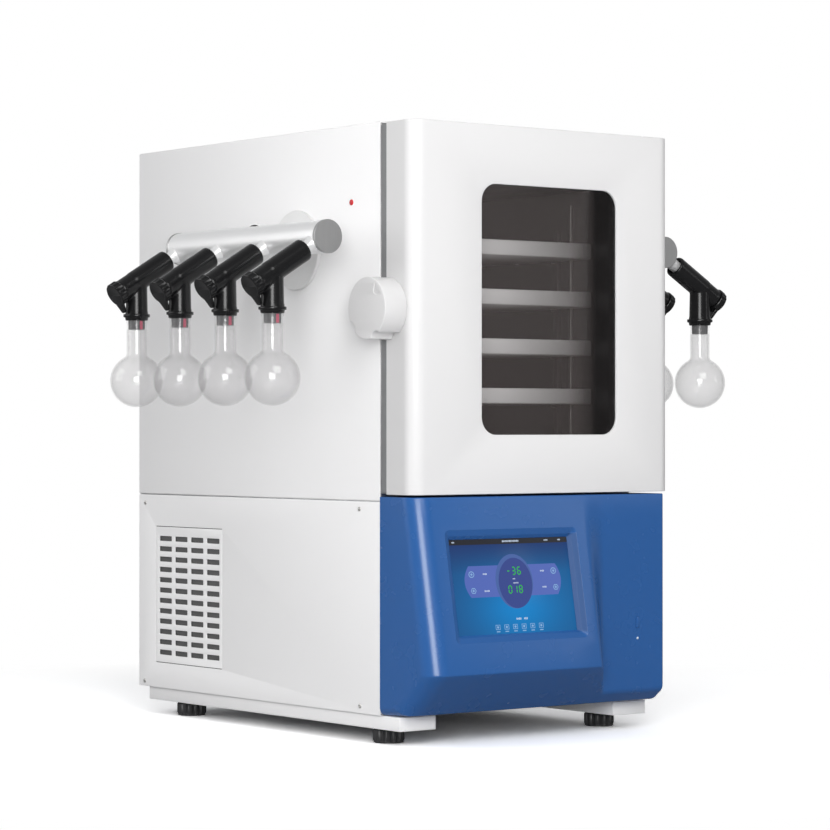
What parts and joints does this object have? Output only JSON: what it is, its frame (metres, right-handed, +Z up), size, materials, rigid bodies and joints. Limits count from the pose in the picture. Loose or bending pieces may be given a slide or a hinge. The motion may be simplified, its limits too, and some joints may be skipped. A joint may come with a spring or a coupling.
{
  "type": "freeze dryer",
  "caption": "Shelf freeze dryer: white cabinet, glazed vacuum chamber door, blue touch-screen console, and a flask manifold with valves on each side.",
  "frame": {"origin": "on the floor, under the middle of the whole outline", "axes": "+Z up, the door and console face -Y, +X to the right as one faces the door"},
  "size_m": [0.9866, 0.8606, 0.966],
  "materials": {
    "white_paint": "semi-gloss powder coat",
    "white_moulding": "smooth white moulding",
    "blue_moulding": "smooth blue moulding",
    "zinc_sheet": "plain plated sheet",
    "stainless": "satin stainless",
    "polished_steel": "polished stainless tube",
    "dark_steel": "black coated frame",
    "seal_rubber": "grey extruded seal",
    "black_rubber": "smooth black rubber",
    "foot_plastic": "ribbed dark plastic",
    "clear_glass": "clear borosilicate",
    "window_glass": "tinted thick pane",
    "screen_glass": "glossy touch glass",
    "black_enamel": "black enamel",
    "fin_aluminium": "plain fins"
  },
  "bodies": {
    "cabinet": {"base_plate": "zinc_sheet", "base_rail_left": "white_paint", "base_rail_right": "white_paint", "chamber_deck": "zinc_sheet", "cold_trap_coil": "stainless", "compressor": "black_enamel", "condenser": "fin_aluminium", "console_cover": "blue_moulding", "door_hinge_lower": "stainless", "door_hinge_upper": "stainless", "flask_left_1": "clear_glass", "flask_left_2": "clear_glass", "flask_left_3": "clear_glass", "flask_left_4": "clear_glass", "flask_right_1": "clear_glass", "flask_right_2": "clear_glass", "flask_right_3": "clear_glass", "flask_right_4": "clear_glass", "front_frame": "stainless", "heated_shelf_1": "stainless", "heated_shelf_2": "stainless", "heated_shelf_3": "stainless", "heated_shelf_4": "stainless", "lower_side_panel_left": "white_paint", "lower_side_panel_right": "white_paint", "manifold_left": "polished_steel", "manifold_right": "polished_steel", "power_inlet": "foot_plastic", "rear_panel": "white_paint", "shelf_rack": "stainless", "touch_screen": "screen_glass", "upper_casing": "white_paint", "vacuum_chamber": "stainless", "vacuum_port": "stainless", "valve_body_left_1": "black_rubber", "valve_body_left_2": "black_rubber", "valve_body_left_3": "black_rubber", "valve_body_left_4": "black_rubber", "valve_body_right_1": "black_rubber", "valve_body_right_2": "black_rubber", "valve_body_right_3": "black_rubber", "valve_body_right_4": "black_rubber"},
    "door": {"door_shell": "white_moulding", "door_frame": "dark_steel", "door_window": "window_glass", "door_seal": "seal_rubber"},
    "latch": {"door_latch_knob": "white_moulding"},
    "fan": {"condenser_fan": "black_enamel"},
    "foot_front_left": {"levelling_foot_front_left": "foot_plastic"},
    "foot_rear_left": {"levelling_foot_rear_left": "foot_plastic"},
    "foot_front_right": {"levelling_foot_front_right": "foot_plastic"},
    "foot_rear_right": {"levelling_foot_rear_right": "foot_plastic"},
    "knob_left_1": {"valve_knob_left_1": "black_rubber"},
    "knob_left_2": {"valve_knob_left_2": "black_rubber"},
    "knob_left_3": {"valve_knob_left_3": "black_rubber"},
    "knob_left_4": {"valve_knob_left_4": "black_rubber"},
    "knob_right_1": {"valve_knob_right_1": "black_rubber"},
    "knob_right_2": {"valve_knob_right_2": "black_rubber"},
    "knob_right_3": {"valve_knob_right_3": "black_rubber"},
    "knob_right_4": {"valve_knob_right_4": "black_rubber"}
  },
  "joints": [
    {"name": "door_hinge", "type": "hinge", "parent": "cabinet", "child": "door", "pos_m": [0.2662, -0.3038, 0.676], "axis": [0, 0, 1], "range_deg": [0, 95]},
    {"name": "latch_turn", "type": "hinge", "parent": "door", "child": "latch", "pos_m": [-0.2572, -0.3176, 0.675], "axis": [-1, 0, 0], "range_deg": [0, 90]},
    {"name": "fan_spin", "type": "hinge", "parent": "cabinet", "child": "fan", "pos_m": [-0.1529, 0.2433, 0.1783], "axis": [1, 0, 0], "continuous": true},
    {"name": "knob_left_1_turn", "type": "hinge", "parent": "cabinet", "child": "knob_left_1", "pos_m": [-0.47678, -0.26905, 0.70774], "axis": [-0.8572, 0, -0.515], "range_deg": [0, 180]},
    {"name": "knob_left_2_turn", "type": "hinge", "parent": "cabinet", "child": "knob_left_2", "pos_m": [-0.47678, -0.14055, 0.70774], "axis": [-0.8572, 0, -0.515], "range_deg": [0, 180]},
    {"name": "knob_left_3_turn", "type": "hinge", "parent": "cabinet", "child": "knob_left_3", "pos_m": [-0.47678, -0.01205, 0.70774], "axis": [-0.8572, 0, -0.515], "range_deg": [0, 180]},
    {"name": "knob_left_4_turn", "type": "hinge", "parent": "cabinet", "child": "knob_left_4", "pos_m": [-0.47678, 0.11645, 0.70774], "axis": [-0.8572, 0, -0.515], "range_deg": [0, 180]},
    {"name": "knob_right_1_turn", "type": "hinge", "parent": "cabinet", "child": "knob_right_1", "pos_m": [0.47678, -0.26905, 0.70774], "axis": [0.8572, 0, -0.515], "range_deg": [0, 180]},
    {"name": "knob_right_2_turn", "type": "hinge", "parent": "cabinet", "child": "knob_right_2", "pos_m": [0.47678, -0.14055, 0.70774], "axis": [0.8572, 0, -0.515], "range_deg": [0, 180]},
    {"name": "knob_right_3_turn", "type": "hinge", "parent": "cabinet", "child": "knob_right_3", "pos_m": [0.47678, -0.01205, 0.70774], "axis": [0.8572, 0, -0.515], "range_deg": [0, 180]},
    {"name": "knob_right_4_turn", "type": "hinge", "parent": "cabinet", "child": "knob_right_4", "pos_m": [0.47678, 0.11645, 0.70774], "axis": [0.8572, 0, -0.515], "range_deg": [0, 180]},
    {"name": "foot_front_left_turn", "type": "hinge", "parent": "cabinet", "child": "foot_front_left", "pos_m": [-0.2172, -0.2653, 0], "axis": [0, 0, 1], "range_deg": [-360, 360]},
    {"name": "foot_rear_left_turn", "type": "hinge", "parent": "cabinet", "child": "foot_rear_left", "pos_m": [-0.2172, 0.2953, 0], "axis": [0, 0, 1], "range_deg": [-360, 360]},
    {"name": "foot_front_right_turn", "type": "hinge", "parent": "cabinet", "child": "foot_front_right", "pos_m": [0.2172, -0.2653, 0], "axis": [0, 0, 1], "range_deg": [-360, 360]},
    {"name": "foot_rear_right_turn", "type": "hinge", "parent": "cabinet", "child": "foot_rear_right", "pos_m": [0.2172, 0.2953, 0], "axis": [0, 0, 1], "range_deg": [-360, 360]}
  ]
}
